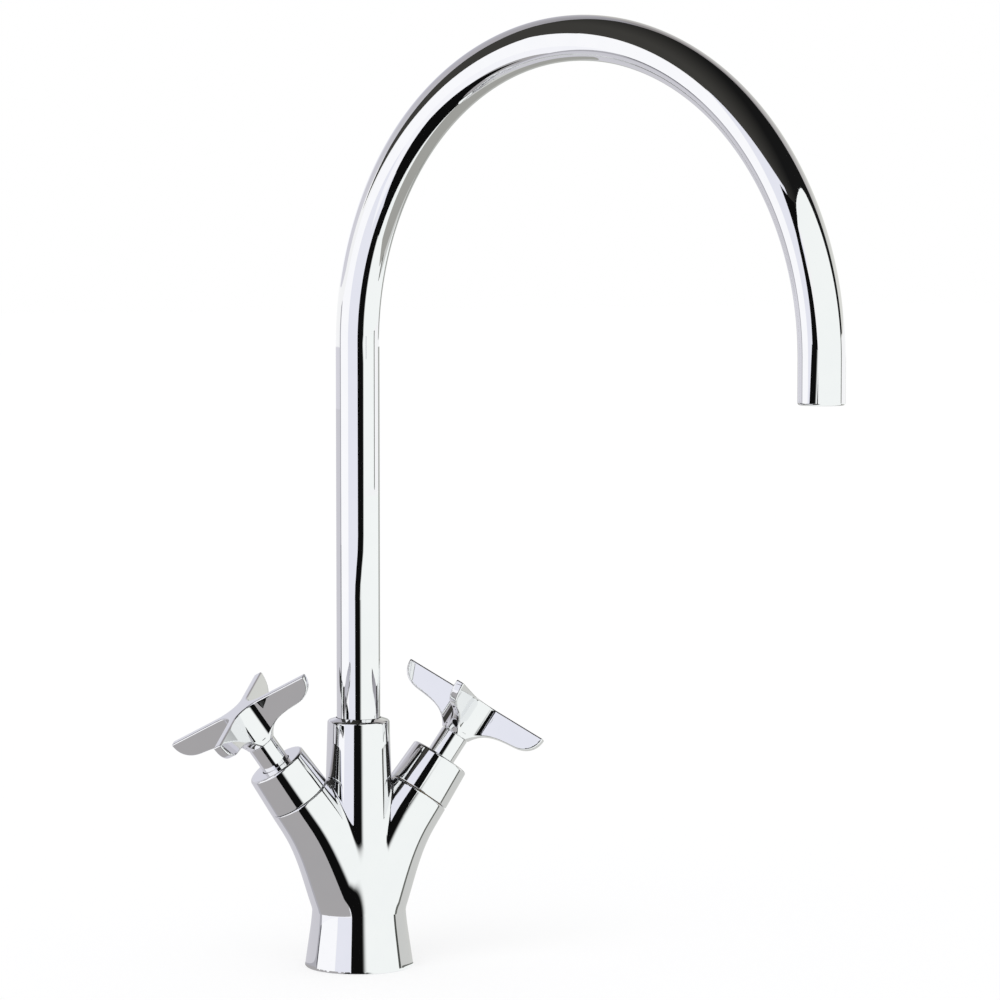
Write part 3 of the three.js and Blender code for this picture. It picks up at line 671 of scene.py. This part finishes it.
valve = {"ringLand": 0.6, "ringSection": 0.7, "flange": 2.1, "disc": 3, "seal": 1.4, "socketRadius": 10.5,
         "portOffset": 4.3}
# from the arm's end down: the housing's O-ring between its lands, the spindle's flange, two discs and the seat seal
valve["socketFloor"] = (armLength - 2 * (valve["ringLand"] + valve["ringSection"] + fits["seat"]) - valve["flange"]
                        - 2 * valve["disc"] - valve["seal"] - 5 * fits["seat"])


bellyPeak = 9.48  # lifts share * (1 - share) ** 3 to 1 at its highest
blend = {"heights": [26, 32, 42, 56, 68, 84], "widths": [0.05, 0.8, 1.6, 2.2, 2, 1]}  # where arms and column meet


def castField(x, y, z):
    # the casting before it is bored: foot, arms and column run into each other
    away = np.hypot(x, y)
    waist, top = body["waistHeight"], body["columnHeight"]
    fall = (body["footRadius"] - body["waistRadius"]) / (waist - body["footEdge"])
    foot = (away - body["waistRadius"] - fall * (waist - z)) / math.hypot(1, fall)
    share = np.clip((z - waist) / (body["columnFoot"] - waist), 0, 1)
    slim = columnRadiusAt(body["columnFoot"])
    radius = np.where(z > body["columnFoot"], columnRadiusAt(z), body["waistRadius"] + (slim - body["waistRadius"])
                      * share + body["columnBelly"] * bellyPeak * share * (1 - share) ** 3)
    column = roundedCut(away - radius, z - top - body["crownRise"] * np.clip(
        (body["columnRadius"] - away) / (body["columnRadius"] - tube["radius"]), -1, 1), body["rimEdge"])
    width = np.interp(z, blend["heights"], blend["widths"])
    arms = softUnion(armField(x, y, z), armField(-x, y, z), width)
    upper = softUnion(arms, column, width)
    whole = softUnion(foot, upper, body["waistSoft"])
    edge = body["footRadius"] - body["footEdge"]
    return np.maximum(whole, np.maximum(-z, (away - edge - z) * math.sqrt(0.5)))


def bodyField(x, y, z):
    whole = castField(x, y, z)
    groove = body["footRadius"] - body["gasketInset"]
    half = body["gasketWidth"] / 2 + fits["seat"]
    over = fits["overrun"]
    cuts = [
        rodField(x, y, z, (0, 0, -over), (0, 0, body["cavityDepth"]), body["cavityRadius"]),
        ringField(x, y, z, groove - half, groove + half, -over, body["gasketHeight"] + fits["seat"]),
        rodField(x, y, z, (0, -body["studOffset"], body["cavityDepth"] - over),
                 (0, -body["studOffset"], body["cavityDepth"] + body["studDepth"]), body["studRadius"]),
        rodField(x, y, z, (0, 0, chamberFloor), (0, 0, spigot["foot"]), spigot["seat"] - body["chamberStep"]),
        rodField(x, y, z, (0, 0, spigot["foot"] - fits["seat"]), (0, 0, spigot["shoulder"] + over), spigot["seat"]),
        rodField(x, y, z, (0, 0, spigot["shoulder"]), (0, 0, 130), tube["radius"] + fits["run"]),
        rodField(x, y, z, (0, spigot["seat"] - over, spigot["keeperHeight"]), (0, 30, spigot["keeperHeight"]),
                 keeperRadius + fits["seat"]),
    ]
    for side in (-1, 1):
        inletTop = body["cavityDepth"] + body["inletDepth"]
        inlet = side * body["inletOffset"]

        def inArm(along, across=0.0):
            px, pz = armPoint(along, across)
            return (side * px, 0, pz)

        floor = valve["socketFloor"]
        cuts += [
            rodField(x, y, z, (inlet, 0, body["cavityDepth"] - over), (inlet, 0, inletTop), body["inletRadius"]),
            rodField(x, y, z, (inlet, 0, inletTop - body["feedRadius"]), inArm(floor + over, valve["portOffset"]),
                     body["feedRadius"]),
            rodField(x, y, z, inArm(floor), inArm(armLength + over), valve["socketRadius"]),
            rodField(x, y, z, (0, 0, chamberFloor + body["drainRadius"]), inArm(floor + over, -valve["portOffset"]),
                     body["drainRadius"]),
        ]
    for cut in cuts:
        whole = np.maximum(whole, -cut)
    return whole


shape = skin(bodyField, (-45, -28, -1.3), (45, 28, 118), 0.5)
casting = meshObject("cast_body", *shape, chrome)
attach(casting, "base")
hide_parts("mixer_body")
print("body cast", len(shape[0]))


def spoutAxis(lengths):
    # the tube's centre line, its two cross directions and its run, at lengths from the tube's foot
    foot = body["columnHeight"] - tube["seat"]
    bend = tube["bend"]
    turn = np.clip((lengths - tube["rise"]) / bend, 0, math.pi)
    straight = np.clip(lengths, None, tube["rise"])
    drop = np.clip(lengths - tube["rise"] - math.pi * bend, 0, None)
    out = bend * (1 - np.cos(turn))
    rise = foot + straight + bend * np.sin(turn) - drop
    ahead = np.array([math.cos(tube["swing"]), math.sin(tube["swing"]), 0])
    centre = out[:, None] * ahead + rise[:, None] * upward
    run = np.sin(turn)[:, None] * ahead + np.cos(turn)[:, None] * upward
    across = np.cos(turn)[:, None] * ahead - np.sin(turn)[:, None] * upward
    beside = np.cross(run, across)
    return centre, across, beside, run


def stations(outline, longest):
    # more points on the long straight spans
    points, spans = outline
    points = list(points)
    finer = []
    for i, j, ni, nj in spans:
        gap = points[j] - points[i]
        count = int(math.ceil(np.linalg.norm(gap) / longest))
        last = i
        for k in range(1, count):
            points.append(points[i] + gap * k / count)
            finer.append((last, len(points) - 1, ni + (nj - ni) * (k - 1) / count, ni + (nj - ni) * k / count))
            last = len(points) - 1
        finer.append((last, j, ni + (nj - ni) * (count - 1) / count, nj))
    return np.array(points), finer


whole = tube["rise"] + math.pi * tube["bend"] + tube["drop"]
bore = tube["radius"] - tube["wall"]
outline = roundedOutline([
    (bore, 0, 0), (bore, whole, tube["lipInside"]), (tube["radius"], whole, tube["lipOutside"]), (tube["radius"], 0, 0),
][::-1])
shape = sweep(stations(outline, tube["bendStep"]), spoutAxis, 96)
pipe = meshObject("swan_neck_tube", *shape, chrome)
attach(pipe, "spout")
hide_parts("spout_tube")
print("spout bent", len(shape[0]))


cover = {"length": 19, "taper": 1, "edge": 1.2, "wall": 1.3, "top": 1.6}
stem = {"radius": 6.65, "shown": 12.3, "tail": 3.3, "tenonWall": 0.8, "tenonLength": 2.5, "spindle": 3.9}
cover["foot"] = armLength + fits["seat"]
cover["head"] = cover["foot"] + cover["length"]
stem["head"] = cover["head"] + stem["shown"]
handle = {
    "radius": 37.6, "turn": math.radians(54), "thickness": 4, "fillet": 10, "wingDepth": 10.2, "belly": 27.5,
    "hubDepth": 19, "hubLip": 0.45, "hubCap": 5.3, "grubRadius": 2, "grubDepth": 13.5, "grubLength": 2,
    "edge": 0.65, "tipDrop": 0.55, "tipReach": 0.65, "tipDepth": 0.94,
    "sweepReach": 0.73, "sweepDepth": 1.07, "hubReach": 1.62, "hubRise": 1.08,
}
handle["foot"] = stem["head"] + fits["seat"]
handle["top"] = handle["foot"] + handle["hubDepth"]
handle["hub"] = stem["radius"] + handle["hubLip"]


def armPlace(side):
    return (Matrix.Translation((0, 0, body["crossHeight"]))
            @ Matrix.Rotation(side * body["tilt"], 4, "Y"))


radius, top = body["armRadius"], body["armRadius"] - cover["taper"]
coverShape = sweep(roundedOutline([
    (radius - cover["wall"], cover["foot"], 0), (radius, cover["foot"], 0.4), (top, cover["head"], cover["edge"]),
    (stem["radius"] + fits["run"], cover["head"], 0.3), (stem["radius"] + fits["run"], cover["head"] - cover["top"], 0),
    (top - cover["wall"] - cover["edge"], cover["head"] - cover["top"], 0),
]), uprightAxis, 128)
bore = stem["spindle"] + 2 * fits["seat"]
tenon = bore + stem["tenonWall"]
stemShape = sweep(roundedOutline([
    (bore, cover["head"] - stem["tail"], 0), (stem["radius"], cover["head"] - stem["tail"], 0.2),
    (stem["radius"], stem["head"], 0.25), (tenon, stem["head"], 0), (tenon, handle["foot"] + stem["tenonLength"], 0.2),
    (bore, handle["foot"] + stem["tenonLength"], 0),
]), uprightAxis, 96)


def bezier(a, b, c, d, steps=600):
    t = np.linspace(0, 1, steps)[:, None]
    a, b, c, d = (np.array(p, float) for p in (a, b, c, d))
    return (1 - t) ** 3 * a + 3 * (1 - t) ** 2 * t * b + 3 * (1 - t) * t * t * c + t ** 3 * d


fringe = handle["radius"] - handle["belly"]
depth = handle["wingDepth"]
tipCurve = bezier((handle["radius"], 0), (handle["radius"], depth * handle["tipDrop"]),
                  (handle["belly"] + fringe * handle["tipReach"], depth * handle["tipDepth"]), (handle["belly"], depth))
sweepCurve = bezier((handle["belly"], depth), (handle["belly"] * handle["sweepReach"], depth * handle["sweepDepth"]),
                    (handle["hub"] * handle["hubReach"], depth * handle["hubRise"]),
                    (handle["hub"], handle["hubDepth"]))
tipTurn = np.arctan2(tipCurve[:, 1], tipCurve[:, 0] - handle["belly"])
tipAway = np.hypot(tipCurve[:, 1], tipCurve[:, 0] - handle["belly"])
sweepSlope = np.gradient(sweepCurve[:, 1], sweepCurve[:, 0])


def handleField(x, y, z):
    away = np.hypot(x, y)
    down = handle["top"] - z
    fromBelly = away - handle["belly"]
    tip = np.hypot(fromBelly, down) - np.interp(np.arctan2(down, fromBelly), tipTurn, tipAway)
    order = slice(None, None, -1)
    low = np.interp(away, sweepCurve[order, 0], sweepCurve[order, 1])
    slope = np.interp(away, sweepCurve[order, 0], sweepSlope[order])
    under = (down - low) / np.hypot(1, slope)
    side = np.where((fromBelly > 0), tip, under)
    side = np.maximum(side, down - handle["hubDepth"])
    wide, narrow = np.maximum(np.abs(x), np.abs(y)), np.minimum(np.abs(x), np.abs(y))
    corner = handle["thickness"] / 2 + handle["fillet"]
    plan = np.where(wide < corner, handle["fillet"] - np.hypot(corner - wide, corner - narrow),
                    narrow - handle["thickness"] / 2)
    edge = handle["edge"]
    whole = roundedCut(roundedCut(side, plan, edge), z - handle["top"], edge)
    hub = np.maximum(away - handle["hub"], np.abs(down - handle["hubDepth"] + 1) - 1)
    whole = np.minimum(whole, hub)
    over = fits["overrun"]
    reach = handle["radius"] / math.sqrt(2)
    height = handle["top"] - handle["grubDepth"]
    for cut in (
        rodField(x, y, z, (0, 0, handle["foot"] - over), (0, 0, handle["top"] - handle["hubCap"]),
                 stem["spindle"] + fits["seat"]),
        rodField(x, y, z, (0, 0, handle["foot"] - over), (0, 0, handle["foot"] + stem["tenonLength"] + fits["seat"]),
                 tenon + fits["seat"]),
        rodField(x, y, z, (0, 0, height), (reach, reach, height), handle["grubRadius"] + fits["seat"]),
    ):
        whole = np.maximum(whole, -cut)
    return whole


span = handle["radius"] + 1.5
handleShape = skin(handleField, (-span, -span, handle["foot"] - 1.2), (span, span, handle["top"] + 1.2),
                   0.42)
print("handle cut", len(handleShape[0]))


gasket = {"height": body["gasketHeight"], "edge": 0.3}
aerator = {"recess": 1.5, "length": 12, "wall": 1.1, "lip": 0.9, "insert": 6, "jet": 0.9, "pitch": 2.9, "rings": 2,
           "first": 6, "edge": 0.3}
grub = {"drive": 1, "edge": 0.2}
keeper = {"radius": keeperRadius, "inset": 1, "drive": 2, "groove": 1.7}


def grubShape(foot, head, radius, drive, tip=None):
    # hex socket grub screw that stands along Z, on a slimmer tip where one is given
    def field(x, y, z):
        away = np.hypot(x, y)
        shoulder = tip[0] if tip else foot
        whole = roundedCut(away - radius, np.maximum(z - head, shoulder - z), grub["edge"])
        if tip:
            whole = np.minimum(whole, roundedCut(away - tip[1], np.maximum(z - shoulder - 1, foot - z), grub["edge"]))
        flats = np.maximum.reduce([np.abs(x * math.cos(t) + y * math.sin(t)) for t in np.radians((0, 60, 120))])
        socket = np.maximum(flats - radius / 2 * math.cos(math.radians(30)), head - drive - z)
        return np.maximum(whole, -socket)

    reach = radius + 0.3
    return skin(field, (-reach, -reach, foot - 0.3), (reach, reach, head + 0.3), 0.16)


def jetField(x, y, z):
    # plate of the aerator: two rings of jets through a disc
    middle = aerator["foot"] + aerator["lip"] + fits["seat"] + aerator["insert"] / 2
    whole = roundedCut(np.hypot(x, y) - aerator["plate"], np.abs(z - middle) - aerator["insert"] / 2, aerator["edge"])
    for band in range(1, aerator["rings"] + 1):
        for turn in np.arange(aerator["first"] * band) * 2 * math.pi / (aerator["first"] * band):
            reach = aerator["pitch"] * band
            whole = np.maximum(whole, aerator["jet"] - np.hypot(x - reach * math.cos(turn), y - reach * math.sin(turn)))
    return whole


outletHeight = body["columnHeight"] - tube["seat"] + tube["rise"] - tube["drop"]
aerator["foot"] = outletHeight + aerator["recess"]
aerator["radius"] = tube["radius"] - tube["wall"] - fits["seat"]
aerator["plate"] = aerator["radius"] - aerator["wall"] - fits["seat"]
aerator["head"] = aerator["foot"] + aerator["length"]
outlet = Matrix.Translation((2 * tube["bend"] * math.cos(tube["swing"]), 2 * tube["bend"] * math.sin(tube["swing"]), 0))
inner = body["footRadius"] - body["gasketInset"] - body["gasketWidth"] / 2
outer = inner + body["gasketWidth"]
shell = [(aerator["plate"] - aerator["lip"], aerator["foot"], 0), (aerator["radius"], aerator["foot"], aerator["edge"]),
         (aerator["radius"], aerator["head"], 0.2), (aerator["plate"] + fits["seat"], aerator["head"], 0),
         (aerator["plate"] + fits["seat"], aerator["foot"] + aerator["lip"], 0),
         (aerator["plate"] - aerator["lip"], aerator["foot"] + aerator["lip"], 0.15)]
reach = aerator["plate"] + 0.4
plate = skin(jetField, (-reach, -reach, aerator["foot"] + 0.8), (reach, reach, aerator["head"] - 4),
             0.25)
keeperHead = columnRadiusAt(spigot["keeperHeight"]) - keeper["inset"]
keeperShape = grubShape(tube["radius"] - spigot["step"] - keeper["groove"] + fits["seat"], keeperHead, keeper["radius"],
                        keeper["drive"], (spigot["seat"] + fits["seat"], spigot["keeperTip"]))
grubFoot = stem["spindle"] + fits["seat"]
screwShape = grubShape(grubFoot, grubFoot + handle["grubLength"], handle["grubRadius"], grub["drive"])


def addPiece(name, shape, slot, rider, node):
    thing = meshObject(name, *shape, finishes[slot])
    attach(thing, rider)
    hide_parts(node)


addPiece("foot_ring_gasket", sweep(roundedOutline([
    (inner, 0, gasket["edge"]), (outer, 0, gasket["edge"]), (outer, gasket["height"], gasket["edge"]),
    (inner, gasket["height"], gasket["edge"])]), uprightAxis, 128), "rubber", "base", "foot_gasket")
addPiece("aerator_shell", moved(sweep(roundedOutline(shell), uprightAxis, 96), outlet), "steel", "spout",
         "aerator_housing")
addPiece("aerator_jet_plate", moved(plate, outlet), "acetal", "spout", "aerator_insert")
addPiece("keeper_grub_screw", moved(keeperShape, Matrix.Translation((0, 0, spigot["keeperHeight"]))
                                    @ Matrix.Rotation(-math.pi / 2, 4, "X")), "steel", "base", "spout_keeper_screw")

for name, side in (("hot", -1), ("cold", 1)):
    place = armPlace(side)
    turned = place @ Matrix.Rotation(handle["turn"], 4, "Z")
    along = (turned @ Matrix.Translation((0, 0, handle["top"] - handle["grubDepth"]))
             @ Matrix.Rotation(math.pi / 4, 4, "Z") @ Matrix.Rotation(math.pi / 2, 4, "Y"))
    for piece, shape, slot, rider, node in (
        ("cover_shell", moved(coverShape, place), "polished_chrome", "base", "bonnet_cover"),
        ("stem_shell", moved(stemShape, place), "polished_chrome", f"{name}_valve", "stem_sleeve"),
        ("four_wing_handle", moved(handleShape, turned), "polished_chrome", f"{name}_valve", "handle"),
        ("grub_screw", moved(screwShape, along), "steel", f"{name}_valve", "handle_screw"),
    ):
        addPiece(f"{name}_{piece}", shape, slot, rider, f"{name}_{node}")
print("small pieces and handles placed")


# pieces kept from the frame
slots = {part["node"]: part["material_slot"] for part in frame["record"]["subparts"]}
for node, thing in frame["nodes"].items():
    for k in range(len(thing.data.materials)):
        thing.data.materials[k] = finishes[slots[node]]
